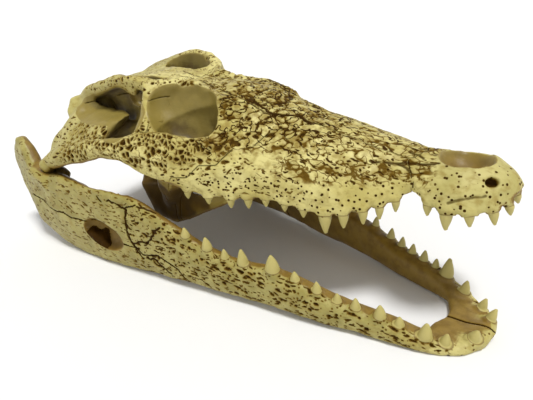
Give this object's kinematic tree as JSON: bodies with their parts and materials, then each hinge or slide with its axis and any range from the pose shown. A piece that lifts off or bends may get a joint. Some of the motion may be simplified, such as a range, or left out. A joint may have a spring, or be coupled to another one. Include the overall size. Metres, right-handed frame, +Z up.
{
  "type": "crocodile skull",
  "caption": "Life-size crocodile skull with open jaws: pitted cream bones parted at their sutures, conical teeth, eye, cheek and roof openings, and a long V-shaped lower jaw.",
  "frame": {"origin": "centre of the bounding box's bottom face, on the surface the lower jaw rests on", "axes": "+X from the jaw joints towards the snout, +Y to the animal's left, +Z up"},
  "size_m": [0.5237, 0.2241, 0.1876],
  "materials": {
    "bone": "matte dry bone, cream with ochre and brown in the pits"
  },
  "bodies": {
    "root": {"premaxilla": "bone", "nasals": "bone", "maxilla_right": "bone", "maxilla_left": "bone", "jugal_right": "bone", "jugal_left": "bone", "frontal": "bone", "skull_table": "bone", "postorbital_right": "bone", "postorbital_left": "bone", "quadrate_right": "bone", "quadrate_left": "bone", "braincase": "bone", "pterygoid": "bone", "ectopterygoid_right": "bone", "ectopterygoid_left": "bone", "dentary_right": "bone", "dentary_left": "bone", "surangular_right": "bone", "surangular_left": "bone", "angular_right": "bone", "angular_left": "bone"}
  },
  "joints": []
}
